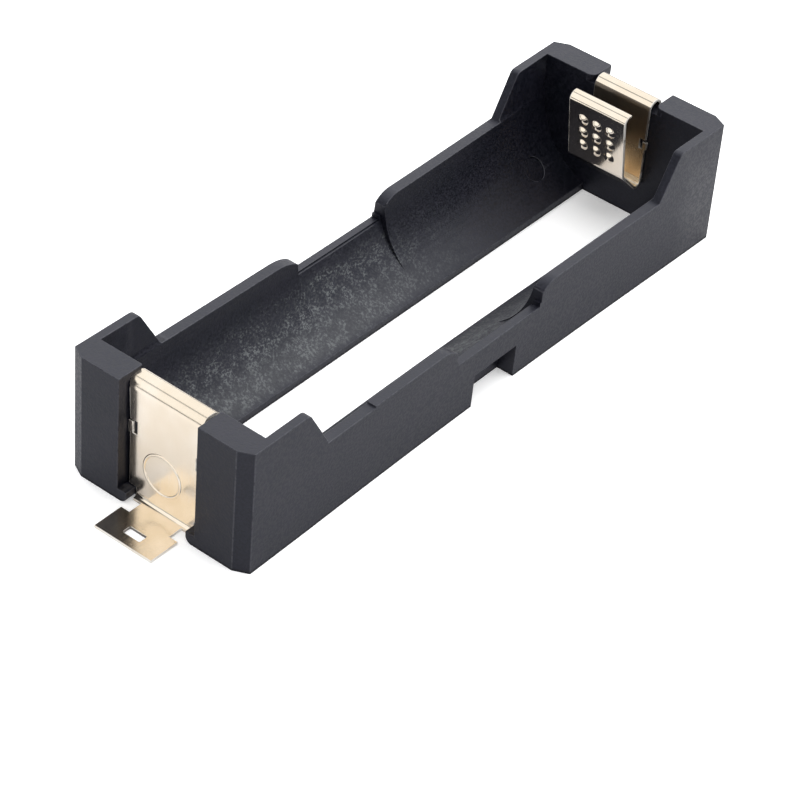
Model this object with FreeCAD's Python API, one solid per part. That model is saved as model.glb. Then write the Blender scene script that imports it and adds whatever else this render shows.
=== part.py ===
import FreeCAD, Part
import math
import os

V = FreeCAD.Vector

# Surface-mount holder for one cylindrical cell: a moulded body and two folded spring contacts.
# X runs along the cell, Y across it, Z up from the board. The origin is the middle of the footprint.
# All sizes are in millimetres.

# Cell that the holder takes
cell_length = 70.0
cell_diameter = 21.7

# Cradle: the round bed that the cell lies in, open along the bottom
cradle_clearance = 0.29
cradle_lift = 0.18
lip_height = 0.92

# Walls of the moulding
side_wall = 1.09
end_wall = 3.54
spring_room = 2.46
ear_above_axis = 4.46
ear_length = 9.16
ear_slope_run = 3.14
ear_round = 0.9
rail_below_axis = 0.77
rail_step = 0.25
rail_step_from_end = 19.9
corner_along = 0.87
corner_across = 1.75

# Finger recess in the middle of both rails
recess_half_length = 7.4
recess_depth = 2.85
rail_round_run = 2.3
rail_round_drop = 1.0
ledge_run = 0.3
ledge_height = 0.55
relief_out = 0.95
relief_up = 0.67
seam_width = 0.25
seam_depth = 0.15

# Pocket at the foot of each side wall
pocket_half_length = 3.65
pocket_height = 4.3
pocket_skin = 0.7

# Ejector marks in the cradle
mark_radius = 1.5
mark_depth = 0.2
mark_from_wall = 4.9
mark_angle = 45.0

# Notches that the contacts hook over
web_thickness = 1.74
nib_height = 1.4
nib_reach = 1.2
nib_round = 0.8
hook_clearance = 0.1

# Contact strip, the same stock for both contacts
strip = 0.35
hook_flat = 0.1
foot_bend_radius = 0.5
tab_reach = 4.85
tab_length = 4.0
tab_width = 7.9
neck_width = 6.2
tab_hole_length = 2.3
tab_hole_width = 1.1
tab_hole_round = 0.2
tab_hole_from_tip = 1.85
shoulder_clearance = 0.12
barb_notch = 1.0
barb_height = 1.7
barb_width = 0.6
barb_stand_out = 0.2
barb_gap = 0.25

# Wide contact, at the -X end
wide_width = 10.0
wide_side_gap = 0.32
wide_notch_round = 0.25
wide_hook_below_top = 0.35
wide_barb_middle = 9.3
ring_radius = 2.6
ring_line = 0.28
ring_rise = 0.12
ring_centre_height = 5.0
ring_off_middle = 0.5
bow_reach = 2.5
bow_crest_radius = 1.6
bow_foot_drop = 4.9
bow_foot_stand_off = 0.25

# Narrow contact, at the +X end
narrow_width = 7.9
narrow_side_gap = 0.42
narrow_notch_round = 1.0
narrow_hook_above_top = 0.3
narrow_barb_middle = 10.35
leaf_bottom_reach = 4.0
leaf_top_reach = 5.2
leaf_bottom_height = 7.6
leaf_above_body = 0.8
leaf_bend_radius = 0.7
u_bend_radius = 0.7
u_bend_height = 4.55
curl_radius = 0.8
curl_run = 1.3
curl_drop = 0.35
dimple_radius = 0.7
dimple_rise = 0.3
dimple_skin = 0.14
dimple_above_axis = 0.2
dimple_pitch_across = 1.9
dimple_pitch_up = 1.85
dimple_count = 3

# How far a cutting shape runs past an open face
spare = 1.0

# Sizes that follow from those above
cradle_radius = cell_diameter / 2 + cradle_clearance
axis_height = cradle_radius + cradle_lift
body_height = axis_height + ear_above_axis
rail_height = axis_height - rail_below_axis
recess_floor = rail_height - recess_depth
half_width = cradle_radius + side_wall
inner_half = cell_length / 2 + spring_room
half_length = inner_half + end_wall
web_outer = inner_half + web_thickness
hook_outer_radius = (web_thickness + 2 * strip - hook_flat) / 2
hook_drop = hook_outer_radius + hook_clearance
wide_hook_top = body_height - wide_hook_below_top
narrow_hook_top = body_height + narrow_hook_above_top
wide_notch_half = wide_width / 2 + wide_side_gap
narrow_notch_half = narrow_width / 2 + narrow_side_gap
tab_tip = half_length + tab_reach


def box(x0, x1, y0, y1, z0, z1):
    """Block between two opposite corners."""
    return Part.makeBox(x1 - x0, y1 - y0, z1 - z0, V(x0, y0, z0))


def both_sides(shape):
    """A shape and its mirror image across the XZ plane."""
    return [shape, shape.mirror(V(0, 0, 0), V(0, 1, 0))]


def both_ends(shape):
    """A shape and the same shape turned to the other end of the body."""
    turned = shape.copy()
    turned.rotate(V(0, 0, 0), V(0, 0, 1), 180)
    return [shape, turned]


def rounded_edges(points, radii):
    """Straight runs through the points, with a tangent arc of its own radius at each inner corner."""
    edges = []
    start = points[0]
    for before, corner, after, radius in zip(points, points[1:], points[2:], radii):
        way_in = (corner - before).normalize()
        way_out = (after - corner).normalize()
        half_turn = way_in.getAngle(way_out) / 2
        reach = radius * math.tan(half_turn)
        enter = corner - way_in * reach
        leave = corner + way_out * reach
        centre = corner + (way_out - way_in).normalize() * (radius / math.cos(half_turn))
        middle = centre + (corner - centre).normalize() * radius
        edges.append(Part.LineSegment(start, enter).toShape())
        edges.append(Part.Arc(enter, middle, leave).toShape())
        start = leave
    edges.append(Part.LineSegment(start, points[-1]).toShape())
    return edges


def face_of(edges):
    """Flat face inside a closed ring of edges."""
    return Part.Face(Part.Wire(Part.sortEdges(edges)[0]))


def rounded_face(points, radius):
    """Flat face inside a closed outline whose corners all have the same radius."""
    first = (points[0] + points[-1]) * 0.5
    ring = [first] + points + [first]
    return face_of(rounded_edges(ring, [radius] * len(points)))


def moved_line(points, radii, shift):
    """A bend line in the XZ plane moved sideways, with its bend radii changed to match."""
    ways = [(b - a).normalize() for a, b in zip(points, points[1:])]
    sides = [way.cross(V(0, 1, 0)) for way in ways]
    moved = [points[0] + sides[0] * shift]
    new_radii = []
    for corner, radius, side_in, side_out, way_out in zip(points[1:], radii, sides, sides[1:], ways[1:]):
        half_turn = side_in.getAngle(side_out) / 2
        moved.append(corner + (side_in + side_out).normalize() * (shift / math.cos(half_turn)))
        bends_to_side = way_out.dot(side_in) > 0
        new_radii.append(radius - shift if bends_to_side else radius + shift)
    moved.append(points[-1] + sides[-1] * shift)
    return moved, new_radii


def folded_strip(points, radii, width):
    """Strip of sheet folded along a line in the XZ plane, centred across Y."""
    left, left_radii = moved_line(points, radii, strip / 2)
    right, right_radii = moved_line(points, radii, -strip / 2)
    edges = rounded_edges(left, left_radii) + rounded_edges(right, right_radii)
    edges.append(Part.LineSegment(left[0], right[0]).toShape())
    edges.append(Part.LineSegment(left[-1], right[-1]).toShape())
    sheet = face_of(edges).extrude(V(0, width, 0))
    sheet.translate(V(0, -width / 2, 0))
    return sheet


def line_edges(points):
    """Straight edges from point to point."""
    return Part.makePolygon(points).Edges


def side_profile():
    """Outline of the body seen from the side: two ears, two rails and the finger recess."""
    ear_top = half_length - ear_length
    ear_foot = ear_top - ear_slope_run
    round_start = recess_half_length + rail_round_run
    round_radius = (rail_round_run ** 2 + rail_round_drop ** 2) / (2 * rail_round_drop)
    half_turn = math.atan2(rail_round_drop, rail_round_run)
    arc_middle = V(round_start - round_radius * math.sin(half_turn), 0,
                   rail_height - round_radius * (1 - math.cos(half_turn)))
    arc_end = V(recess_half_length, 0, rail_height - rail_round_drop)
    ledge_top = recess_floor + ledge_height
    end_top = V(half_length, 0, body_height)
    end_foot = V(half_length, 0, 0)
    slope_foot = V(ear_foot, 0, rail_height)
    rail_end = V(round_start, 0, rail_height)
    ledge_inner = recess_half_length - ledge_run
    floor_end = V(ledge_inner, 0, recess_floor)
    half = rounded_edges([end_top, V(ear_top, 0, body_height), slope_foot], [ear_round])
    half += line_edges([slope_foot, rail_end])
    half.append(Part.Arc(rail_end, arc_middle, arc_end).toShape())
    half += line_edges([arc_end, V(recess_half_length, 0, ledge_top), V(ledge_inner, 0, ledge_top), floor_end])
    half += line_edges([end_top, end_foot])
    other = [edge.mirror(V(0, 0, 0), V(1, 0, 0)) for edge in half]
    across = line_edges([floor_end, V(-ledge_inner, 0, recess_floor)])
    across += line_edges([end_foot, V(-half_length, 0, 0)])
    return face_of(half + other + across)


def body_blank():
    """The side profile at full width, with its four upright corners cut off."""
    blank = side_profile().extrude(V(0, 2 * half_width, 0))
    blank.translate(V(0, -half_width, 0))
    corner = [V(half_length, half_width - corner_across, 0), V(half_length - corner_along, half_width, 0)]
    plan = corner + [V(-p.x, p.y, 0) for p in reversed(corner)]
    plan += [V(-p.x, -p.y, 0) for p in corner] + [V(p.x, -p.y, 0) for p in reversed(corner)]
    return blank.common(Part.Face(Part.makePolygon(plan + plan[:1])).extrude(V(0, 0, body_height)))


def cradle_space():
    """Room for the cell: a round bed, upright walls above its axis and an open slot below."""
    bed = Part.makeCylinder(cradle_radius, 2 * inner_half, V(-inner_half, 0, axis_height), V(1, 0, 0))
    above = box(-inner_half, inner_half, -cradle_radius, cradle_radius, axis_height, body_height + spare)
    slot_half = math.sqrt(cradle_radius ** 2 - (axis_height - lip_height) ** 2)
    slot = box(-inner_half, inner_half, -slot_half, slot_half, -spare, axis_height)
    return bed.fuse([above, slot])


def relief_edge(height):
    """Half width of the bed inside the finger recess, at a height above the board."""
    return relief_out + math.sqrt(cradle_radius ** 2 - (axis_height + relief_up - height) ** 2)


def finger_relief():
    """Bed of the finger recess, deeper at the top, with a fine seam along the wall's inner edge."""
    relief = Part.makeCylinder(cradle_radius, 2 * recess_half_length,
                               V(-recess_half_length, relief_out, axis_height + relief_up), V(1, 0, 0))
    seam_half = recess_half_length - ledge_run
    seam = box(-seam_half, seam_half, 0, relief_edge(recess_floor) + seam_width,
               recess_floor - seam_depth, recess_floor + spare)
    return relief.fuse(seam)


def foot_pocket():
    """Blind pocket in the outer face of a side wall, open at the bottom."""
    inner = relief_edge(pocket_height) + pocket_skin
    return box(-pocket_half_length, pocket_half_length, inner, half_width + spare, -spare, pocket_height)


def ejector_mark():
    """Shallow round mark that an ejector pin leaves in the bed."""
    angle = math.radians(mark_angle)
    outward = V(0, math.cos(angle), -math.sin(angle))
    on_bed = V(inner_half - mark_from_wall, 0, axis_height) + outward * cradle_radius
    return Part.makeCylinder(mark_radius, 2 * mark_depth, on_bed - outward * mark_depth, outward)


def hook_notch(half_gap, notch_round, web_top):
    """Cut in the +X end wall for one contact: a gap over the web and a groove down its outer face."""
    x_in, x_out, wide = inner_half, half_length + spare, half_gap + notch_round
    diagonal = notch_round * math.sqrt(0.5)
    gap = []
    for side in (1, -1):
        gap += line_edges([V(x_out, side * half_gap, 0), V(x_in + notch_round, side * half_gap, 0)])
        middle = V(x_in + notch_round - diagonal, side * (wide - diagonal), 0)
        gap.append(Part.Arc(V(x_in + notch_round, side * half_gap, 0), middle, V(x_in, side * wide, 0)).toShape())
        gap += line_edges([V(x_in, side * wide, 0), V(x_in - spare, side * wide, 0)])
    gap += line_edges([V(x_out, half_gap, 0), V(x_out, -half_gap, 0)])
    gap += line_edges([V(x_in - spare, wide, 0), V(x_in - spare, -wide, 0)])
    over_web = face_of(gap).extrude(V(0, 0, body_height + spare - web_top))
    over_web.translate(V(0, 0, web_top))
    groove = box(web_outer, half_length + spare, -half_gap, half_gap, -spare, body_height + spare)
    nib_inner = half_gap - nib_reach
    nib = rounded_edges([V(web_outer, half_gap, 0), V(web_outer, nib_inner, 0), V(web_outer, nib_inner, nib_height)],
                        [nib_round])
    nib += line_edges([V(web_outer, nib_inner, nib_height), V(web_outer, half_gap, nib_height),
                       V(web_outer, half_gap, 0)])
    nib = face_of(nib).extrude(V(end_wall - web_thickness, 0, 0))
    return over_web.fuse(groove.cut(both_sides(nib)))


def make_body():
    """One moulding: blank, cell space, finger recess, pockets, marks and contact notches."""
    wide_notch = hook_notch(wide_notch_half, wide_notch_round, wide_hook_top - hook_drop)
    wide_notch.rotate(V(0, 0, 0), V(0, 0, 1), 180)
    narrow_notch = hook_notch(narrow_notch_half, narrow_notch_round, narrow_hook_top - hook_drop)
    cuts = [cradle_space(), narrow_notch, wide_notch]
    cuts += both_sides(finger_relief()) + both_sides(foot_pocket())
    for mark in both_sides(ejector_mark()):
        cuts += both_ends(mark)
    cuts.append(box(ear_length + ear_slope_run - half_length, rail_step_from_end - half_length,
                    -half_width - spare, 0, rail_height - rail_step, rail_height + spare))
    return body_blank().cut(cuts).removeSplitter()


def foot_and_hook(hook_top):
    """Bend line shared by both contacts: solder tab, outer leg and hook over the web."""
    outer_leg = web_outer + strip / 2
    inner_leg = inner_half - strip / 2
    crown = hook_top - strip / 2
    points = [V(tab_tip, 0, strip / 2), V(outer_leg, 0, strip / 2), V(outer_leg, 0, crown), V(inner_leg, 0, crown)]
    hook_radius = hook_outer_radius - strip / 2
    return points, [foot_bend_radius + strip / 2, hook_radius, hook_radius]


def foot_trim(half_gap, width):
    """What is cut from the strip's sides at its foot: shoulders, neck and the ends of the tab."""
    shoulder_half = half_gap - nib_reach - shoulder_clearance
    shoulder_height = nib_height + shoulder_clearance
    neck_start = web_outer + strip + foot_bend_radius
    tab_start = tab_tip - tab_length
    edge = width / 2 + spare
    trims = [box(web_outer - spare, neck_start, shoulder_half, edge, -spare, shoulder_height),
             box(neck_start, tab_start, neck_width / 2, edge, -spare, shoulder_height),
             box(tab_start, tab_tip + spare, tab_width / 2, edge, -spare, shoulder_height)]
    return [piece for trim in trims for piece in both_sides(trim)]


def tab_hole():
    """Rounded slot across the solder tab."""
    middle = tab_tip - tab_hole_from_tip
    x0, x1 = middle - tab_hole_width / 2, middle + tab_hole_width / 2
    y = tab_hole_length / 2
    corners = [V(x0, -y, -spare), V(x1, -y, -spare), V(x1, y, -spare), V(x0, y, -spare)]
    return rounded_face(corners, tab_hole_round).extrude(V(0, 0, 2 * spare))


def barb_cut(x, width, middle):
    """Notch in one edge of a leg, round the barb that bites the moulding."""
    return box(x - spare / 2, x + spare / 2, width / 2 - barb_notch, width / 2 + spare,
               middle - barb_height / 2, middle + barb_height / 2)


def barb(x, width, middle):
    """Small lance that stands in its notch, cut free on two sides and a little proud of the edge."""
    tip = width / 2 + barb_stand_out
    return box(x - strip / 2, x + strip / 2, tip - barb_width, tip,
               middle - barb_height / 2, middle + barb_height / 2 - barb_gap)


def make_wide_contact():
    """Contact at the -X end, made at +X and turned: flat leg with a ring, and a bowed inner spring."""
    points, radii = foot_and_hook(wide_hook_top)
    inner_leg = inner_half - strip / 2
    crest = V(inner_half - bow_reach + strip / 2, 0, axis_height)
    foot = V(inner_leg - bow_foot_stand_off, 0, axis_height - bow_foot_drop)
    sheet = folded_strip(points + [crest, foot], radii + [bow_crest_radius], wide_width)
    outer_leg = web_outer + strip / 2
    cuts = foot_trim(wide_notch_half, wide_width) + [tab_hole()]
    cuts += both_sides(barb_cut(outer_leg, wide_width, wide_barb_middle))
    ring_base = V(web_outer + strip / 2, -ring_off_middle, ring_centre_height)
    ring_height = strip / 2 + ring_rise
    ring = Part.makeCylinder(ring_radius, ring_height, ring_base, V(1, 0, 0))
    ring = ring.cut(Part.makeCylinder(ring_radius - ring_line, ring_height, ring_base, V(1, 0, 0)))
    barbs = both_sides(barb(outer_leg, wide_width, wide_barb_middle))
    contact = sheet.cut(cuts).fuse(barbs + [ring]).removeSplitter()
    contact.rotate(V(0, 0, 0), V(0, 0, 1), 180)
    return contact


def u_bend_corner(leaf_bottom):
    """Where the lines of the inner leg and of the arm to the leaf would meet below the U-bend."""
    leg = inner_half - strip / 2
    centre = V(leg - u_bend_radius, 0, u_bend_height + strip / 2 + u_bend_radius)
    to_leaf = leaf_bottom - centre
    climb = math.atan2(to_leaf.z, -to_leaf.x) + math.asin(u_bend_radius / to_leaf.Length)
    return V(leg, 0, centre.z - u_bend_radius * (1 + math.sin(climb)) / math.cos(climb))


def leaf_dimples(leaf_bottom, leaf_top):
    """Pressed contact dimples on the leaf: domes on the cell's side and hollows behind them."""
    up = (leaf_top - leaf_bottom).normalize()
    to_cell = V(-up.z, 0, up.x)
    first_height = axis_height + dimple_above_axis - leaf_bottom.z
    middle = leaf_bottom + up * (first_height / up.z)
    dome_radius = (dimple_radius ** 2 + dimple_rise ** 2) / (2 * dimple_rise)
    domes = []
    hollows = []
    for row in range(dimple_count):
        for column in range(dimple_count):
            place = middle + up * (dimple_pitch_up * (row - (dimple_count - 1) / 2))
            place += V(0, dimple_pitch_across * (column - (dimple_count - 1) / 2), 0)
            centre = place + to_cell * (strip / 2 + dimple_rise - dome_radius)
            dome = Part.makeSphere(dome_radius, centre)
            domes.append(dome.common(Part.makeCylinder(dimple_radius, 2 * dome_radius, place, to_cell)))
            hollows.append(Part.makeSphere(dome_radius - dimple_skin, centre - to_cell * (strip - dimple_skin)))
    return domes, hollows


def make_narrow_contact():
    """Contact at the +X end: U-bend, leaning leaf with pressed dimples, and a rolled top."""
    points, radii = foot_and_hook(narrow_hook_top)
    leaf_bottom = V(inner_half - leaf_bottom_reach, 0, leaf_bottom_height)
    leaf_top = V(inner_half - leaf_top_reach, 0, body_height + leaf_above_body - strip / 2)
    points += [u_bend_corner(leaf_bottom), leaf_bottom, leaf_top, leaf_top + V(curl_run, 0, -curl_drop)]
    radii += [u_bend_radius, leaf_bend_radius, curl_radius]
    sheet = folded_strip(points, radii, narrow_width)
    inner_leg = inner_half - strip / 2
    domes, hollows = leaf_dimples(leaf_bottom, leaf_top)
    cuts = foot_trim(narrow_notch_half, narrow_width) + [tab_hole()] + hollows
    cuts += both_sides(barb_cut(inner_leg, narrow_width, narrow_barb_middle))
    barbs = both_sides(barb(inner_leg, narrow_width, narrow_barb_middle))
    return sheet.cut(cuts).fuse(barbs + domes).removeSplitter()


os.makedirs("parts", exist_ok=True)
make_body().exportStep("parts/holder_body.step")
make_wide_contact().exportStep("parts/wide_contact.step")
make_narrow_contact().exportStep("parts/narrow_contact.step")
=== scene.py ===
import math

import bmesh
import bpy
from mathutils import Matrix, Quaternion, Vector


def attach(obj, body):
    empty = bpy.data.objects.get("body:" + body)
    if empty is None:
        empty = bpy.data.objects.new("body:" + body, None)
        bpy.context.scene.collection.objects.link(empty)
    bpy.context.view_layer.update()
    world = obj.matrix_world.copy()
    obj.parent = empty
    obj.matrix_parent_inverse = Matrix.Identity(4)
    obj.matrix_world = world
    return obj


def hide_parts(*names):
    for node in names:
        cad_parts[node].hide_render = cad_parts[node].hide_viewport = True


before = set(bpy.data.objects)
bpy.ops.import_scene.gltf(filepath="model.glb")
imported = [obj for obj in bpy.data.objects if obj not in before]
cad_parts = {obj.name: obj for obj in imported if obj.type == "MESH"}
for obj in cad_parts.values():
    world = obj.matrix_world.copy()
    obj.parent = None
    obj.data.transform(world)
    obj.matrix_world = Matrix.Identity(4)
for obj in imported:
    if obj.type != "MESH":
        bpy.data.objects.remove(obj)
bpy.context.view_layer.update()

# Cradle moulding
# One injection moulding in black glass-filled nylon: a round bed for the cell between two end walls.
# It leaves its tool with softly broken edges, a fine spark-eroded grain and pale fibre flecks in the bed.
mm = 0.001
bed_half_length = 37.46 * mm
bed_radius = 11.14 * mm
bed_axis_height = 11.32 * mm
rail_height = 10.55 * mm
recess_half_length = 7.4 * mm
recess_floor = 7.7 * mm
recess_ledge = 0.55 * mm
wall_half_width = 12.23 * mm
inside_half_width = wall_half_width - 0.3 * mm
moulding_edge = 0.09 * mm
rounding_steps = 3
flat_face_weight = 90
weld_gap = 0.003 * mm
flat_turn = math.radians(1)
crease_turn = math.radians(25)


def closed_copy(node_name):
    """Working copy of a construction node with its triangles joined into flat faces."""
    work = bmesh.new()
    work.from_mesh(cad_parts[node_name].data)
    bmesh.ops.remove_doubles(work, verts=work.verts, dist=weld_gap)
    bmesh.ops.dissolve_limit(work, angle_limit=flat_turn, verts=work.verts, edges=work.edges)
    return work


def softened(work, piece_name, edge_size, stays_crisp=None):
    """Piece made from a working mesh, with its outer edges rounded off and the rounded faces marked."""
    weight = work.edges.layers.float.new("bevel_weight_edge")
    for edge in work.edges:
        if edge.is_manifold and edge.calc_face_angle() > crease_turn:
            rounded = edge.is_convex and not (stays_crisp and stays_crisp(edge))
            edge[weight] = 1.0 if rounded else 0.0
            edge.smooth = rounded
    sharp_mesh = bpy.data.meshes.new(piece_name)
    work.to_mesh(sharp_mesh)
    work.free()
    for role in ("body", "worn edge"):
        sharp_mesh.materials.append(bpy.data.materials.new(role))
    sharp_mesh.polygons.foreach_set("use_smooth", [True] * len(sharp_mesh.polygons))
    piece = bpy.data.objects.new(piece_name, sharp_mesh)
    bpy.context.scene.collection.objects.link(piece)
    rounding = piece.modifiers.new("broken edges", "BEVEL")
    rounding.width = edge_size
    rounding.segments = rounding_steps
    rounding.limit_method = "WEIGHT"
    rounding.use_clamp_overlap = False
    rounding.material = 1
    shading = piece.modifiers.new("flat faces stay flat", "WEIGHTED_NORMAL")
    shading.weight = flat_face_weight
    shading.keep_sharp = True
    mesh = bpy.data.meshes.new_from_object(piece.evaluated_get(bpy.context.evaluated_depsgraph_get()))
    piece.modifiers.clear()
    piece.data = mesh
    mesh.name = piece_name
    bevelled = [float(face.material_index) for face in mesh.polygons]
    mesh.attributes.new("worn edge", "FLOAT", "FACE").data.foreach_set("value", bevelled)
    mesh.polygons.foreach_set("material_index", [0] * len(mesh.polygons))
    mesh.materials.clear()
    return piece


foot_slack = 0.05 * mm
ledge_slack = 0.1 * mm
floor_slack = 0.2 * mm
relief_step_reach = 0.35 * mm


def crisp_in_the_mould(edge):
    """True for the edges that stay crisp on the real moulding: foot, relief step, ledges and seam."""
    top = max(v.co.z for v in edge.verts)
    at_foot = top < foot_slack
    at_recess_end = all(abs(abs(v.co.x) - recess_half_length) < relief_step_reach for v in edge.verts)
    in_bed = all(abs(v.co.y) < bed_radius for v in edge.verts)
    by_ledge = top < recess_floor + recess_ledge + ledge_slack
    on_floor = all(abs(v.co.z - recess_floor) < floor_slack for v in edge.verts)
    inside = all(abs(v.co.y) < inside_half_width for v in edge.verts)
    return at_foot or (at_recess_end and (in_bed or by_ledge)) or (on_floor and inside)


pocket_back = 9.71 * mm
pocket_back_shown = 10.05 * mm
pocket_slack = 0.02 * mm
pocket_reach = 4.0 * mm
pocket_top = 5.0 * mm
wall_slices = 15
slice_weld = 0.001 * mm
back_wall_pull = 0.5 * mm
front_foot_pull = 0.49 * mm
front_rail_pull = 0.2 * mm
back_rail_swell = 0.28 * mm
front_rail_swell = 0.15 * mm
swell_start_height = 5.0 * mm
rail_top_slack = 0.1 * mm
round_start = 10.5 * mm
round_stretch = 1.45


def make_pockets_shallower(work):
    """Moves the back faces of the two foot pockets outwards, to where they are on the real moulding."""
    for vert in work.verts:
        on_back = abs(abs(vert.co.y) - pocket_back) < pocket_slack
        if on_back and abs(vert.co.x) < pocket_reach and vert.co.z < pocket_top:
            vert.co.y = math.copysign(pocket_back_shown, vert.co.y)


def slice_walls(work):
    """Cuts the faces of the long walls across at even steps, so that the walls can bend."""
    for step in range(1, wall_slices):
        x = bed_half_length * (2 * step / wall_slices - 1)
        bmesh.ops.bisect_plane(work, geom=work.verts[:] + work.edges[:] + work.faces[:], dist=slice_weld,
                               plane_co=(x, 0, 0), plane_no=(1, 0, 0))


def bow_walls(work):
    """Bows the long walls inwards at mid-length and swells the inside of their rails, as cooling does."""
    for vert in work.verts:
        x, y, z = vert.co
        if abs(x) < bed_half_length:
            bow = math.cos(math.pi / 2 * x / bed_half_length)
            up = min(z / rail_height, 1.0)
            on_inside = abs(y) < inside_half_width and z < rail_height + rail_top_slack
            above_start = max(z - swell_start_height, 0) / (rail_height - swell_start_height)
            swell = min(above_start, 1.0) if on_inside else 0.0
            if y > 0:
                vert.co.y = y - bow * up * back_wall_pull - swell * back_rail_swell
            else:
                front_pull = front_foot_pull + up * (front_rail_pull - front_foot_pull)
                vert.co.y = y + bow * front_pull + swell * front_rail_swell


def draw_out_recess_corner(work):
    """Lengthens the rounded near corner of the finger recess in the back wall."""
    for vert in work.verts:
        x, y, z = vert.co
        if -round_start < x < -recess_half_length and y > 0 and z > recess_floor + floor_slack:
            vert.co.x = -recess_half_length + (x + recess_half_length) * round_stretch


def place(tree, kind, settings=None, **inputs):
    """Adds a node to a shader or geometry tree.

    Each input is a value or another node's output, named with _ for a space, or by its number after _.
    """
    node = tree.nodes.new(kind)
    for name, value in (settings or {}).items():
        setattr(node, name, value)
    for name, value in inputs.items():
        socket = node.inputs[int(name[1:])] if name[1:].isdigit() else node.inputs[name.replace("_", " ")]
        if isinstance(value, bpy.types.NodeSocket):
            tree.links.new(value, socket)
        else:
            socket.default_value = value
    return node


def ramp(tree, value, low, high, to_low=0.0, to_high=1.0):
    """Smooth change of a value from one level to another."""
    settings = {"interpolation_type": "SMOOTHSTEP"}
    node = place(tree, "ShaderNodeMapRange", settings, Value=value, From_Min=low, From_Max=high,
                 To_Min=to_low, To_Max=to_high)
    return node.outputs["Result"]


def maths(tree, operation, a, b=0.0):
    """One sum, product or comparison of two values."""
    return place(tree, "ShaderNodeMath", {"operation": operation}, _0=a, _1=b).outputs[0]


def product(tree, first, *others):
    """Product of several values or masks."""
    result = first
    for other in others:
        result = maths(tree, "MULTIPLY", result, other)
    return result


def blend_colours(tree, share, first, second):
    """Mix of two colours."""
    node = place(tree, "ShaderNodeMix", {"data_type": "RGBA"}, _0=share, _6=first, _7=second)
    return node.outputs[2]


def noise(tree, at, scale, detail, roughness=0.5):
    """Soft random pattern between 0 and 1."""
    node = place(tree, "ShaderNodeTexNoise", Vector=at, Scale=scale, Detail=detail, Roughness=roughness)
    return node.outputs["Fac"]


def named_sockets(tree, inputs, outputs):
    """Gives a node group its inputs and outputs and returns the sockets inside it."""
    for name, kind, value in inputs:
        socket = tree.interface.new_socket(name, in_out="INPUT", socket_type=kind)
        if value is not None:
            socket.default_value = value
    for name, kind in outputs:
        tree.interface.new_socket(name, in_out="OUTPUT", socket_type=kind)
    return tree.nodes.new("NodeGroupInput").outputs, tree.nodes.new("NodeGroupOutput").inputs


edge_mark_range = (0.3, 0.6)
least_edge_mark = 0.35
speckle_range = (0.34, 0.66)
cloud_range = (0.3, 0.7)


def edge_wear_and_highlight_group():
    """Mask of the rounded outer edges, broken up by a fine noise, for their wear and their painted
    highlight.
    """
    tree = bpy.data.node_groups.new("edge wear and highlight", "ShaderNodeTree")
    inputs = [("Vector", "NodeSocketVector", None), ("Breakup", "NodeSocketFloat", 2500.0)]
    given, result = named_sockets(tree, inputs, [("Mask", "NodeSocketFloat")])
    edge = place(tree, "ShaderNodeAttribute", {"attribute_name": "worn edge"}).outputs["Fac"]
    broken = ramp(tree, noise(tree, given["Vector"], given["Breakup"], 3.0), *edge_mark_range, least_edge_mark)
    tree.links.new(product(tree, edge, broken), result["Mask"])
    return tree


def grain_group():
    """Fine surface grain: a height for the bump, and masks of its fine speckle and its soft clouds."""
    tree = bpy.data.node_groups.new("grain", "ShaderNodeTree")
    inputs = [("Vector", "NodeSocketVector", None), ("Speckle Scale", "NodeSocketFloat", 3500.0),
              ("Cloud Scale", "NodeSocketFloat", 350.0)]
    outputs = [("Height", "NodeSocketFloat"), ("Speckle", "NodeSocketFloat"), ("Cloud", "NodeSocketFloat")]
    given, result = named_sockets(tree, inputs, outputs)
    speckle = noise(tree, given["Vector"], given["Speckle Scale"], 2.0, 0.6)
    cloud = noise(tree, given["Vector"], given["Cloud Scale"], 3.0)
    tree.links.new(speckle, result["Height"])
    tree.links.new(ramp(tree, speckle, *speckle_range), result["Speckle"])
    tree.links.new(ramp(tree, cloud, *cloud_range), result["Cloud"])
    return tree


edge_wear_and_highlight = edge_wear_and_highlight_group()
grain = grain_group()


def new_material(name):
    """Material with its tree, its shader and the object's own coordinates."""
    material = bpy.data.materials.new(name)
    material.use_nodes = True
    tree = material.node_tree
    shader = tree.nodes["Principled BSDF"]
    coordinates = tree.nodes.new("ShaderNodeTexCoord").outputs["Object"]
    return material, tree, shader, coordinates


nylon_pits = ((0.0015, 0.002, 0.005, 1), (0.003, 0.003, 0.007, 1))
nylon_peaks = ((0.008, 0.009, 0.015, 1), (0.011, 0.011, 0.018, 1))
# Lighter colour given to the lower part of the bed.
lower_bed_tone = (0.038, 0.039, 0.043, 1)
fibre_fleck = (0.115, 0.124, 0.123, 1)
fleck_strength = 0.9
# Pale colour on the rounded edges: partly rubbing, partly a painted highlight.
rubbed_and_highlit_nylon = (0.13, 0.13, 0.145, 1)
rub_and_highlight_strength = 0.3
# Dark colour painted near the floor as a contact shadow along the foot.
painted_foot_shadow = (0.002, 0.002, 0.004, 1)
bed_rim = (bed_radius + 1.0 * mm, bed_radius + 0.6 * mm)
fleck_heights = (8.6 * mm, 3.5 * mm)
recess_fleck_heights = (7.2 * mm, 5.6 * mm)
recess_fleck_ends = (recess_half_length + 0.2 * mm, recess_half_length - 0.2 * mm)
flow_far_fade = (22 * mm, -6 * mm)
flow_near_fade = (-36 * mm, -24 * mm)
lip_heights = (0.8 * mm, 1.4 * mm)
lower_bed_heights = (4.2 * mm, 1.8 * mm)
foot_shadow_heights = (0.45 * mm, 0.1 * mm)
stroke_turn = (0.6, 0.5, 0.3)
stroke_stretch = (1.0, 0.55, 1.5)
stroke_scale = 3300.0
stroke_range = (0.46, 0.60)
cluster_scale = 700.0
cluster_range = (0.40, 0.62)
least_cluster = 0.2
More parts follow.
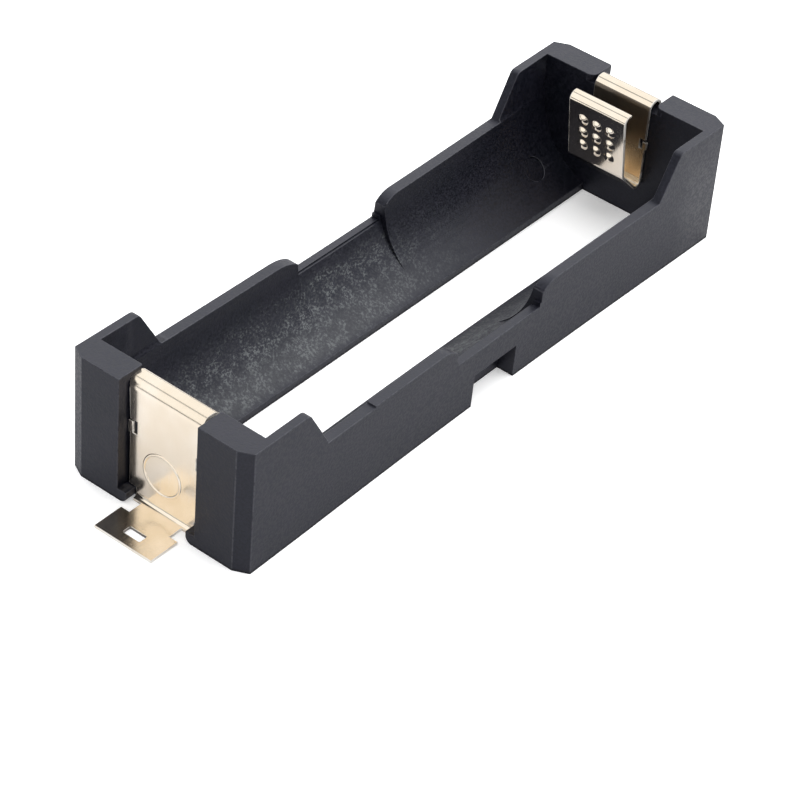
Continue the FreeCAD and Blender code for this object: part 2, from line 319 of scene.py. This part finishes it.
nylon_roughness = (0.38, 0.52)
dull_roughness = 0.2
nylon_bump = 0.5
nylon_bump_depth = 0.04 * mm
nylon_specular = 0.37
nylon_specular_tint = (0.87, 0.885, 1.0, 1)


def glass_filled_nylon():
    """Matte black nylon, slightly blue, with pale fibre flecks where the melt flowed along the bed, painted
    edge highlights and a painted foot shadow.
    """
    material, tree, shader, at = new_material("glass-filled nylon")
    skin = place(tree, "ShaderNodeGroup", {"node_tree": grain}, Vector=at,
                 Speckle_Scale=3400.0, Cloud_Scale=330.0)
    bevelled = place(tree, "ShaderNodeGroup", {"node_tree": edge_wear_and_highlight}, Vector=at)
    along, across, height = place(tree, "ShaderNodeSeparateXYZ", Vector=at).outputs
    pits = blend_colours(tree, skin.outputs["Cloud"], *nylon_pits)
    peaks = blend_colours(tree, skin.outputs["Cloud"], *nylon_peaks)
    base = blend_colours(tree, skin.outputs["Speckle"], pits, peaks)

    above_axis = maths(tree, "SUBTRACT", height, bed_axis_height)
    square = maths(tree, "ADD", product(tree, across, across), product(tree, above_axis, above_axis))
    in_bed = ramp(tree, maths(tree, "SQRT", square), *bed_rim)
    low = ramp(tree, height, *fleck_heights)
    by_recess = ramp(tree, maths(tree, "ABSOLUTE", along), *recess_fleck_ends)
    in_recess = product(tree, ramp(tree, height, *recess_fleck_heights), by_recess)
    fleck_zone = maths(tree, "MAXIMUM", low, in_recess)
    flow = product(tree, ramp(tree, along, *flow_far_fade), ramp(tree, along, *flow_near_fade))
    off_lip = product(tree, in_bed, ramp(tree, height, *lip_heights))
    dense = product(tree, off_lip, fleck_zone, flow)

    slanted = place(tree, "ShaderNodeMapping", Vector=at, Rotation=stroke_turn, Scale=stroke_stretch)
    stroke = ramp(tree, noise(tree, slanted.outputs[0], stroke_scale, 3.0, 0.7), *stroke_range)
    cluster = ramp(tree, noise(tree, at, cluster_scale, 4.0, 0.65), *cluster_range, least_cluster)
    flecks = product(tree, stroke, cluster, dense)
    gaps = product(tree, maths(tree, "SUBTRACT", 1.0, cluster), dense)
    # The lower part of the bed gets a lighter colour.
    lower_bed_share = product(tree, off_lip, ramp(tree, height, *lower_bed_heights), flow)
    lower_bed_toned = blend_colours(tree, lower_bed_share, base, lower_bed_tone)
    flecked = blend_colours(tree, product(tree, flecks, fleck_strength), lower_bed_toned, fibre_fleck)
    # Rounded edges get a paler colour: partly rubbing, partly a painted highlight.
    rub_and_highlight = product(tree, bevelled.outputs["Mask"], rub_and_highlight_strength)
    rubbed_and_highlit = blend_colours(tree, rub_and_highlight, flecked, rubbed_and_highlit_nylon)
    # Painted shadow: the colour darkens towards the floor along the foot.
    foot = ramp(tree, height, *foot_shadow_heights)
    tree.links.new(blend_colours(tree, foot, rubbed_and_highlit, painted_foot_shadow), shader.inputs["Base Color"])

    grain_roughness = ramp(tree, skin.outputs["Speckle"], 0.0, 1.0, *nylon_roughness)
    dull = product(tree, maths(tree, "MAXIMUM", foot, gaps), dull_roughness)
    tree.links.new(maths(tree, "ADD", grain_roughness, dull), shader.inputs["Roughness"])
    bump = place(tree, "ShaderNodeBump", Height=skin.outputs["Height"], Strength=nylon_bump,
                 Distance=nylon_bump_depth)
    tree.links.new(bump.outputs[0], shader.inputs["Normal"])
    shader.inputs["Specular IOR Level"].default_value = nylon_specular
    shader.inputs["Specular Tint"].default_value = nylon_specular_tint
    return material


moulding = closed_copy("holder_body")
make_pockets_shallower(moulding)
slice_walls(moulding)
bow_walls(moulding)
draw_out_recess_corner(moulding)
cradle = softened(moulding, "cradle_moulding", moulding_edge, crisp_in_the_mould)
cradle.data.materials.append(glass_filled_nylon())
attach(cradle, "root")
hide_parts("holder_body")

# Wide contact
# Spring strip stamped, nickel plated and folded: solder tab, outer leg, hook and inner bow.
# It is pushed down over the near end wall and held by barbs in its edges.
sheet_thickness = 0.35 * mm
sheared_edge = 0.05 * mm
tab_tip = 45.85 * mm
outer_leg = 39.375 * mm
inner_leg = 37.285 * mm
foot_bend = 0.675 * mm
hook_bend = 0.995 * mm
neck_start = 40.05 * mm
neck_half_width = 2.8 * mm
tab_start = 41.85 * mm
tab_half_width = 3.95 * mm
shoulder_height = 1.52 * mm
hole_middle = 44.0 * mm
hole_half_length = 1.15 * mm
hole_half_width = 0.55 * mm
hole_round = 0.2 * mm
corner_steps = 6
barb_width = 0.6 * mm
barb_stand_out = 0.2 * mm
barb_gap = 0.25 * mm
barb_cut_reach = 0.5 * mm
cut_lap = 0.1 * mm
cut_clear = 1.0 * mm
cut_weld = 0.001 * mm
wide_width = 10.0 * mm
wide_hook_top = 15.28 * mm
wide_shoulder = 4.0 * mm
wide_barb_height = 9.3 * mm
wide_barb_notch = (1.0 * mm, 0.85 * mm)
hook_slip = 0.4 * mm
hook_slip_depth = 1.6 * mm
bow_crest = (35.135 * mm, bed_axis_height)
bow_foot = (37.035 * mm, 6.42 * mm)
bow_bend = 1.6 * mm
bend_step = math.radians(5)


def bend_line(points, bends):
    """Middle line of a folded strip in XZ: places along it, each with the direction across the sheet."""
    corners = [Vector(point) for point in points]
    ways = [(after - before).normalized() for before, after in zip(corners, corners[1:])]
    line = [(corners[0], ways[0].orthogonal())]
    for corner, way_in, way_out, bend in zip(corners[1:], ways, ways[1:], bends):
        turn = way_in.angle_signed(way_out)
        reach = bend * math.tan(abs(turn) / 2)
        inside = way_in.orthogonal() * (-1 if turn > 0 else 1)
        centre = corner - way_in * reach + inside * bend
        steps = math.ceil(abs(turn) / bend_step)
        for step in range(steps + 1):
            spoke = -inside.copy()
            spoke.rotate(Matrix.Rotation(-turn * step / steps, 2))
            across = spoke if turn < 0 else -spoke
            line.append((centre + spoke * bend, -across))
    line.append((corners[-1], ways[-1].orthogonal()))
    return line


def folded_strip(points, bends, width):
    """Sheet of one thickness folded along a line and centred across Y."""
    line = bend_line(points, bends)
    outline = [spot + across * sheet_thickness / 2 for spot, across in line]
    outline += [spot - across * sheet_thickness / 2 for spot, across in reversed(line)]
    work = bmesh.new()
    near = [work.verts.new((x, -width / 2, z)) for x, z in outline]
    far = [work.verts.new((x, width / 2, z)) for x, z in outline]
    work.faces.new(near)
    work.faces.new(list(reversed(far)))
    for i, vert in enumerate(near):
        work.faces.new((vert, near[i - 1], far[i - 1], far[i]))
    bmesh.ops.recalc_face_normals(work, faces=work.faces)
    return work


def add_block(work, x, y, z):
    """Block in a working mesh, between the two given limits on each axis."""
    size = Matrix.Diagonal((x[1] - x[0], y[1] - y[0], z[1] - z[0], 1))
    middle = Matrix.Translation(((x[0] + x[1]) / 2, (y[0] + y[1]) / 2, (z[0] + z[1]) / 2))
    bmesh.ops.create_cube(work, size=1.0, matrix=middle @ size)


def add_rounded_post(work, x, half_x, half_y, corner, height):
    """Upright post with rounded corners, centred on Y, which cuts the hole in the tab."""
    outline = []
    for quarter, (side_x, side_y) in enumerate(((1, 1), (-1, 1), (-1, -1), (1, -1))):
        for step in range(corner_steps + 1):
            angle = math.radians(90 * quarter + 90 / corner_steps * step)
            outline.append((x + side_x * (half_x - corner) + corner * math.cos(angle),
                            side_y * (half_y - corner) + corner * math.sin(angle)))
    low = [work.verts.new((u, v, -height)) for u, v in outline]
    high = [work.verts.new((u, v, height)) for u, v in outline]
    work.faces.new(list(reversed(low)))
    work.faces.new(high)
    for i, vert in enumerate(low):
        work.faces.new((low[i - 1], vert, high[i], high[i - 1]))


def cut_and_join(work, cutters, lugs):
    """Takes the cutters out of a working mesh and joins the lugs to it."""
    body = bpy.data.objects.new("blank", bpy.data.meshes.new("blank"))
    work.to_mesh(body.data)
    work.free()
    helpers = [body]
    for part, operation in ((cutters, "DIFFERENCE"), (lugs, "UNION")):
        helper = bpy.data.objects.new(operation, bpy.data.meshes.new(operation))
        part.to_mesh(helper.data)
        part.free()
        change = body.modifiers.new(operation, "BOOLEAN")
        change.operation = operation
        change.object = helper
        change.solver = "EXACT"
        change.use_self = True
        helpers.append(helper)
    for helper in helpers:
        bpy.context.scene.collection.objects.link(helper)
    result = bmesh.new()
    shaped = body.evaluated_get(bpy.context.evaluated_depsgraph_get())
    result.from_mesh(shaped.data)
    for helper in helpers:
        bpy.data.objects.remove(helper)
    bmesh.ops.remove_doubles(result, verts=result.verts, dist=cut_weld)
    return result


level_slope = 0.3
side_slope = 0.9


def mark_sheared_faces(work):
    """Marks the faces left by the shears: the strip's long edges, and the walls of the tab and its hole."""
    for face in work.faces:
        middle = face.calc_center_median()
        in_tab = middle.x > neck_start and middle.z < sheet_thickness and abs(face.normal.z) < level_slope
        face.material_index = 1 if in_tab or abs(face.normal.y) > side_slope else 0


def band(side, low, high):
    """Limits across Y of what lies between two distances from the middle, on one side of it."""
    return sorted((side * low, side * high))


def stamped_strip(points, bends, width, shoulder, barb_x, barb_height, barb_size, extra_cuts=None):
    """Folded strip with its neck, tab, hole and barbs."""
    edge = width / 2
    tip = edge + barb_stand_out
    beyond = edge + cut_clear
    barb_notch, barb_half_height = barb_size
    cutters = bmesh.new()
    lugs = bmesh.new()
    for side in (1, -1):
        add_block(cutters, (outer_leg - cut_clear, neck_start + cut_lap), band(side, shoulder, beyond),
                  (-cut_clear, shoulder_height))
        add_block(cutters, (neck_start, tab_start), band(side, neck_half_width, beyond),
                  (-cut_clear, shoulder_height - cut_lap))
        add_block(cutters, (tab_start - cut_lap, tab_tip + cut_clear), band(side, tab_half_width, beyond),
                  (-cut_clear, shoulder_height - 2 * cut_lap))
        add_block(cutters, (barb_x - barb_cut_reach, barb_x + barb_cut_reach),
                  band(side, edge - barb_notch, beyond),
                  (barb_height - barb_half_height, barb_height + barb_half_height))
        add_block(lugs, (barb_x - sheet_thickness / 2, barb_x + sheet_thickness / 2),
                  band(side, tip - barb_width, tip),
                  (barb_height - barb_half_height - cut_lap, barb_height + barb_half_height - barb_gap))
    add_rounded_post(cutters, hole_middle, hole_half_width, hole_half_length, hole_round, cut_clear)
    if extra_cuts:
        extra_cuts(cutters)
    blank = cut_and_join(folded_strip(points, bends, width), cutters, lugs)
    mark_sheared_faces(blank)
    return blank


def foot_and_hook(hook_top):
    """Corners of the bend line that both strips share: tab, outer leg and hook."""
    foot = sheet_thickness / 2
    crown = hook_top - sheet_thickness / 2
    return [(tab_tip, foot), (outer_leg, foot), (outer_leg, crown), (inner_leg, crown)]


nickel_tones = ((0.93, 0.84, 0.715, 1), (0.87, 0.76, 0.61, 1))
# Pale colour of the bare sheared edges, which also paints a highlight along them.
bare_edge_with_highlight = (0.96, 0.94, 0.89, 1)
bare_edge_highlight_strength = 0.8
# Dark colour painted as shade on the inner leg behind the leaf and on the walls of the tab's hole.
painted_nickel_shade = (0.05, 0.035, 0.025, 1)
shade_strength = 0.85
hole_slack = 0.01 * mm
behind_leaf = (inner_leg - 1.2 * mm, inner_leg - 0.5 * mm)
behind_leaf_heights = (4.2 * mm, 12.5 * mm)
rolling_stretch = (0.05, 1.0, 0.05)
rolling_scale = 6000.0
rolling_range = (0.3, 0.7)
rough_cut = 0.25
bare_strength = 0.75
nickel_bump = 0.2
nickel_bump_depth = 0.004 * mm


def nickel_plate(name, smoothest, dullest):
    """Warm bright nickel with faint rolling lines; bare, rougher sheared edges with a painted highlight;
    painted shade behind the leaf and in the hole.
    """
    material, tree, shader, at = new_material(name)
    lengthwise = place(tree, "ShaderNodeMapping", Vector=at, Scale=rolling_stretch).outputs[0]
    rolling = noise(tree, lengthwise, rolling_scale, 3.0, 0.6)
    skin = place(tree, "ShaderNodeGroup", {"node_tree": grain}, Vector=at,
                 Speckle_Scale=2500.0, Cloud_Scale=220.0)
    bevelled = place(tree, "ShaderNodeGroup", {"node_tree": edge_wear_and_highlight}, Vector=at, Breakup=350.0)
    base = blend_colours(tree, skin.outputs["Cloud"], *nickel_tones)
    # The sheared edges are bare metal and carry a painted highlight.
    edged_and_highlit = blend_colours(tree, product(tree, bevelled.outputs["Mask"], bare_edge_highlight_strength), base, bare_edge_with_highlight)

    along, across, height = place(tree, "ShaderNodeSeparateXYZ", Vector=at).outputs
    from_middle = maths(tree, "SUBTRACT", maths(tree, "ABSOLUTE", along), hole_middle)
    off_along = maths(tree, "ABSOLUTE", from_middle)
    off_across = maths(tree, "ABSOLUTE", across)
    in_hole = product(tree, maths(tree, "LESS_THAN", off_along, hole_half_width + hole_slack),
                      maths(tree, "LESS_THAN", off_across, hole_half_length + hole_slack))
    before_leg = maths(tree, "LESS_THAN", along, inner_leg)
    on_inner_leg = product(tree, ramp(tree, along, *behind_leaf), before_leg)
    shade_behind_leaf = product(tree, on_inner_leg, ramp(tree, height, *behind_leaf_heights))
    # Painted shade: darker colour on the walls of the tab's hole and on the inner leg behind the leaf.
    shade = product(tree, maths(tree, "MAXIMUM", in_hole, shade_behind_leaf), shade_strength)
    tree.links.new(blend_colours(tree, shade, edged_and_highlit, painted_nickel_shade), shader.inputs["Base Color"])

    gloss = ramp(tree, rolling, *rolling_range, smoothest, dullest)
    rough = product(tree, maths(tree, "MAXIMUM", bevelled.outputs["Mask"], shade_behind_leaf), rough_cut)
    tree.links.new(maths(tree, "ADD", gloss, rough), shader.inputs["Roughness"])
    relief = maths(tree, "ADD", rolling, skin.outputs["Height"])
    bump = place(tree, "ShaderNodeBump", Height=relief, Strength=nickel_bump, Distance=nickel_bump_depth)
    tree.links.new(bump.outputs[0], shader.inputs["Normal"])
    bare = product(tree, bevelled.outputs["Mask"], bare_strength)
    tree.links.new(maths(tree, "SUBTRACT", 1.0, bare), shader.inputs["Metallic"])
    return material


def slip_hook(work):
    """Shifts the hook to one side, as it sits a little askew on the real wall."""
    for vert in work.verts:
        share = min(max((vert.co.z - wide_hook_top) / hook_slip_depth + 1, 0), 1)
        vert.co.y -= hook_slip * share


satin_plate = nickel_plate("satin nickel plate", 0.15, 0.23)
wide_points = foot_and_hook(wide_hook_top) + [bow_crest, bow_foot]
wide_bends = [foot_bend, hook_bend, hook_bend, bow_bend]
wide_blank = stamped_strip(wide_points, wide_bends, wide_width, wide_shoulder, outer_leg,
                           wide_barb_height, wide_barb_notch)
slip_hook(wide_blank)
bmesh.ops.rotate(wide_blank, verts=wide_blank.verts, matrix=Matrix.Rotation(math.pi, 3, "Z"))
wide_strip = softened(wide_blank, "wide_contact_strip", sheared_edge)
wide_strip.data.materials.append(satin_plate)
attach(wide_strip, "root")
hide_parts("wide_contact")

# Raised ring
# A plain ring raised on the outer leg of the wide contact, bare inside.
# It is coined in the nickel plated strip itself, so it has the strip's finish.
ring_radius = 2.47 * mm
ring_line = 0.2 * mm
ring_sink = 0.08 * mm
ring_height = 5.0 * mm
ring_off_middle = 0.5 * mm


def ring_tree():
    """Geometry nodes: a half-sunk bead swept round a circle that stands on the face of the leg."""
    tree = bpy.data.node_groups.new("raised ring", "GeometryNodeTree")
    inputs = [("Radius", "NodeSocketFloat", 0.0025), ("Line", "NodeSocketFloat", 0.0002),
              ("Middle", "NodeSocketVector", None), ("Material", "NodeSocketMaterial", None)]
    given, result = named_sockets(tree, inputs, [("Geometry", "NodeSocketGeometry")])
    circle = place(tree, "GeometryNodeCurvePrimitiveCircle", Resolution=96, Radius=given["Radius"])
    bead = place(tree, "GeometryNodeCurvePrimitiveCircle", Resolution=16, Radius=given["Line"])
    swept = place(tree, "GeometryNodeCurveToMesh", Curve=circle.outputs["Curve"],
                  Profile_Curve=bead.outputs["Curve"]).outputs[0]
    stood = place(tree, "GeometryNodeTransform", Geometry=swept, Translation=given["Middle"],
                  Rotation=(0, math.pi / 2, 0)).outputs[0]
    smooth = place(tree, "GeometryNodeSetShadeSmooth", Geometry=stood).outputs[0]
    plain = place(tree, "GeometryNodeRealizeInstances", Geometry=smooth).outputs[0]
    finished = place(tree, "GeometryNodeSetMaterial", Geometry=plain, Material=given["Material"]).outputs[0]
    tree.links.new(finished, result["Geometry"])
    return tree


def grown(piece_name, tree, material, **values):
    """Plain mesh object in one material, made by a geometry tree with the given inputs."""
    piece = bpy.data.objects.new(piece_name, bpy.data.meshes.new(piece_name))
    bpy.context.scene.collection.objects.link(piece)
    maker = piece.modifiers.new(tree.name, "NODES")
    maker.node_group = tree
    sockets = {item.name: item.identifier for item in tree.interface.items_tree if item.in_out == "INPUT"}
    maker[sockets["Material"]] = material
    for name, value in values.items():
        maker[sockets[name.replace("_", " ")]] = value
    mesh = bpy.data.meshes.new_from_object(piece.evaluated_get(bpy.context.evaluated_depsgraph_get()))
    piece.modifiers.clear()
    piece.data = mesh
    mesh.name = piece_name
    mesh.polygons.foreach_set("material_index", [0] * len(mesh.polygons))
    mesh.materials.clear()
    mesh.materials.append(material)
    return piece


ring_middle = Vector((-outer_leg - sheet_thickness / 2 + ring_sink, ring_off_middle, ring_height))
ring = grown("raised_ring", ring_tree(), satin_plate, Radius=ring_radius, Line=ring_line,
             Middle=ring_middle)
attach(ring, "root")

# Narrow contact
# The same nickel plated strip folded over the far end wall: U-bend, leaning leaf and a rolled top.
# The leaf is the spring that pushes the cell against the wide contact.
narrow_width = 7.9 * mm
narrow_hook_top = 16.08 * mm
narrow_shoulder = 3.05 * mm
narrow_barb_height = 10.35 * mm
narrow_barb_notch = (0.75 * mm, 0.6 * mm)
narrow_edge = 0.1 * mm
u_bend_corner = (inner_leg, 3.717 * mm)
leaf_foot = (33.46 * mm, 7.6 * mm)
leaf_head = (32.26 * mm, 16.405 * mm)
curl_end = (33.56 * mm, 16.055 * mm)
u_bend = 0.7 * mm
leaf_bend = 0.7 * mm
curl_bend = 0.8 * mm
dimple_middle_height = 11.52 * mm
dimple_rows = 3
dimple_pitch_across = 1.9 * mm
dimple_pitch_up = 1.85 * mm
hollow_radius = 0.83 * mm
hollow_sink = 0.72 * mm
leaf_way = (Vector(leaf_head) - Vector(leaf_foot)).normalized()
up_leaf = Vector((leaf_way.x, 0, leaf_way.y))
to_cell = Vector((-up_leaf.z, 0, up_leaf.x))
foot_to_middle = up_leaf * ((dimple_middle_height - leaf_foot[1]) / up_leaf.z)
leaf_middle = Vector((leaf_foot[0], 0, leaf_foot[1])) + foot_to_middle


def dimple_hollows(cutters):
    """Round hollows in the back of the leaf, one behind each dimple."""
    for row in range(dimple_rows):
        for column in range(dimple_rows):
            up = up_leaf * dimple_pitch_up * (row - (dimple_rows - 1) / 2)
            across = Vector((0, dimple_pitch_across * (column - (dimple_rows - 1) / 2), 0))
            middle = leaf_middle + up + across - to_cell * hollow_sink
            bmesh.ops.create_uvsphere(cutters, u_segments=24, v_segments=14, radius=hollow_radius,
                                      matrix=Matrix.Translation(middle))


narrow_points = foot_and_hook(narrow_hook_top) + [u_bend_corner, leaf_foot, leaf_head, curl_end]
narrow_bends = [foot_bend, hook_bend, hook_bend, u_bend, leaf_bend, curl_bend]
narrow_blank = stamped_strip(narrow_points, narrow_bends, narrow_width, narrow_shoulder, inner_leg,
                             narrow_barb_height, narrow_barb_notch, dimple_hollows)
narrow_strip = softened(narrow_blank, "narrow_contact_strip", narrow_edge)
bright_plate = nickel_plate("bright nickel plate", 0.07, 0.12)
narrow_strip.data.materials.append(bright_plate)
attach(narrow_strip, "root")
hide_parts("narrow_contact")

# Leaf dimples
# Nine round dimples pressed in the leaf from behind, in rows of three, which touch the end of the cell.
# Each is a smooth dome in the strip itself, which runs out into the flat of the leaf.
dimple_reach = 0.74 * mm
dimple_rise = 0.40 * mm
dimple_root = 0.1 * mm
dome_power = 1.3


def dimple_tree():
    """Geometry nodes: a closed dome, set out in rows and columns and put in place on the leaf."""
    tree = bpy.data.node_groups.new("pressed dimples", "GeometryNodeTree")
    inputs = [("Rows", "NodeSocketInt", 3), ("Pitch Across", "NodeSocketFloat", 0.002),
              ("Pitch Up", "NodeSocketFloat", 0.002), ("Reach", "NodeSocketFloat", 0.001),
              ("Rise", "NodeSocketFloat", 0.0003), ("Root", "NodeSocketFloat", 0.0001),
              ("Middle", "NodeSocketVector", None), ("Lean", "NodeSocketRotation", None),
              ("Material", "NodeSocketMaterial", None)]
    given, result = named_sockets(tree, inputs, [("Geometry", "NodeSocketGeometry")])
    ball = place(tree, "GeometryNodeMeshUVSphere", Segments=32, Rings=24, Radius=1.0).outputs["Mesh"]
    position = tree.nodes.new("GeometryNodeInputPosition").outputs[0]
    x, y, z = place(tree, "ShaderNodeSeparateXYZ", _0=position).outputs
    square = maths(tree, "ADD", product(tree, x, x), product(tree, y, y))
    inside_rim = maths(tree, "MAXIMUM", maths(tree, "SUBTRACT", 1.0, square), 0.0)
    above = product(tree, maths(tree, "POWER", inside_rim, dome_power), given["Rise"])
    below = product(tree, z, given["Root"])
    on_top = maths(tree, "GREATER_THAN", z, 0.0)
    level = place(tree, "ShaderNodeMix", _0=on_top, _2=below, _3=above).outputs[0]
    shape = place(tree, "ShaderNodeCombineXYZ", X=product(tree, x, given["Reach"]),
                  Y=product(tree, y, given["Reach"]), Z=level).outputs[0]
    formed = place(tree, "GeometryNodeSetPosition", Geometry=ball, Position=shape).outputs[0]
    dimple = place(tree, "GeometryNodeSetShadeSmooth", Geometry=formed).outputs[0]
    gaps = maths(tree, "SUBTRACT", given["Rows"], 1.0)
    grid = place(tree, "GeometryNodeMeshGrid", Size_X=product(tree, given["Pitch Up"], gaps),
                 Size_Y=product(tree, given["Pitch Across"], gaps), Vertices_X=given["Rows"],
                 Vertices_Y=given["Rows"]).outputs["Mesh"]
    spread = place(tree, "GeometryNodeInstanceOnPoints", Points=grid, Instance=dimple).outputs[0]
    put = place(tree, "GeometryNodeTransform", Geometry=spread, Translation=given["Middle"],
                Rotation=given["Lean"]).outputs[0]
    plain = place(tree, "GeometryNodeRealizeInstances", Geometry=put).outputs[0]
    finished = place(tree, "GeometryNodeSetMaterial", Geometry=plain, Material=given["Material"]).outputs[0]
    tree.links.new(finished, result["Geometry"])
    return tree


dimple_middle = leaf_middle + to_cell * sheet_thickness / 2
leaf_turn = Matrix((up_leaf, to_cell.cross(up_leaf), to_cell)).transposed().to_euler()
dimples = grown("leaf_dimples", dimple_tree(), bright_plate, Rows=dimple_rows, Reach=dimple_reach,
                Pitch_Across=dimple_pitch_across, Pitch_Up=dimple_pitch_up, Rise=dimple_rise,
                Root=dimple_root, Middle=dimple_middle, Lean=leaf_turn)
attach(dimples, "root")

# Floor
# A sheet of white paper that glows faintly, so that shadows on it stay faint.
# The camera sees it brighter than the object does, so that it throws little light up at the black walls.
floor_half = 1.5
paper_to_object = (0.55, 0.55, 0.55, 1)
paper_to_camera = (0.97, 0.97, 0.97, 1)
glow_to_object = (0.25, 0.25, 0.27, 1)
glow_to_camera = (0.27, 0.27, 0.27, 1)
floor_mesh = bpy.data.meshes.new("floor")
corners = [(-floor_half, -floor_half, 0), (floor_half, -floor_half, 0), (floor_half, floor_half, 0),
           (-floor_half, floor_half, 0)]
floor_mesh.from_pydata(corners, [], [(0, 1, 2, 3)])
floor = bpy.data.objects.new("floor", floor_mesh)
bpy.context.scene.collection.objects.link(floor)
paper, paper_tree, paper_shader, _ = new_material("white paper")
paper_shader.inputs["Roughness"].default_value = 1.0
paper_shader.inputs["Specular IOR Level"].default_value = 0.0
seen_directly = paper_tree.nodes.new("ShaderNodeLightPath").outputs["Is Camera Ray"]
matt = blend_colours(paper_tree, seen_directly, paper_to_object, paper_to_camera)
glow = blend_colours(paper_tree, seen_directly, glow_to_object, glow_to_camera)
paper_tree.links.new(matt, paper_shader.inputs["Base Color"])
paper_tree.links.new(glow, paper_shader.inputs["Emission Color"])
paper_shader.inputs["Emission Strength"].default_value = 1.0
floor_mesh.materials.append(paper)

# Light
# Level soft boxes overhead in a dim room, and each lights only the pieces that it is made for.
# The moulding has a bright box over the far side and a weak one over the near side.
# The metal has two equal boxes, and the faint slit between them shows in the hooks as a thin line.
room_colour = (0.93, 0.96, 1.0, 1)
room_strength = 0.2
box_depth = 5.4
box_middle = 0.2
box_height = 0.5
room = bpy.data.worlds.new("dim room")
room.use_nodes = True
room.node_tree.nodes["Background"].inputs["Color"].default_value = room_colour
room.node_tree.nodes["Background"].inputs["Strength"].default_value = room_strength
bpy.context.scene.world = room


def soft_box(name, low_x, high_x, radiance, lit_pieces):
    """Level light over the object that lights only the given pieces; its radiance is per unit of area."""
    width = high_x - low_x
    lamp = bpy.data.lights.new(name, "AREA")
    lamp.shape = "RECTANGLE"
    lamp.size = width
    lamp.size_y = box_depth
    lamp.energy = radiance * math.pi * width * box_depth
    holder = bpy.data.objects.new(name, lamp)
    holder.location = ((low_x + high_x) / 2, box_middle, box_height)
    bpy.context.scene.collection.objects.link(holder)
    lit = bpy.data.collections.new("lit by " + name)
    for piece in lit_pieces:
        lit.objects.link(piece)
    holder.light_linking.receiver_collection = lit


metal = [wide_strip, ring, narrow_strip, dimples]
soft_box("main box over the moulding", -0.1, 3.4, 2.14, [cradle, floor])
soft_box("weak box over the moulding", -3.0, -0.1, 0.5, [cradle, floor])
soft_box("faint slit over the metal", -0.05, 0.05, 0.22, metal)
soft_box("near box over the metal", -3.0, -0.05, 0.95, metal + [floor])
soft_box("far box over the metal", 0.05, 3.4, 0.95, metal + [floor])

# Camera
# It looks down along the object from the near left, from where the photograph was taken.
# It is turned a little about its own axis, as the photograph is.
camera_place = Vector((-217.208, -159.188, 211.596)) * mm
camera_aim = Vector((-8.175, -5.505, 0)) * mm
camera_roll = math.radians(4.965)
camera_lens = 139.41
camera = bpy.data.objects.new("camera", bpy.data.cameras.new("camera"))
camera.data.lens = camera_lens
camera.data.clip_start = 0.01
camera.location = camera_place
camera.rotation_mode = "QUATERNION"
turn = Quaternion((0, 0, 1), camera_roll)
camera.rotation_quaternion = (camera_aim - camera_place).to_track_quat("-Z", "Y") @ turn
bpy.context.scene.collection.objects.link(camera)
bpy.context.scene.camera = camera
bpy.context.scene.view_settings.view_transform = "Standard"
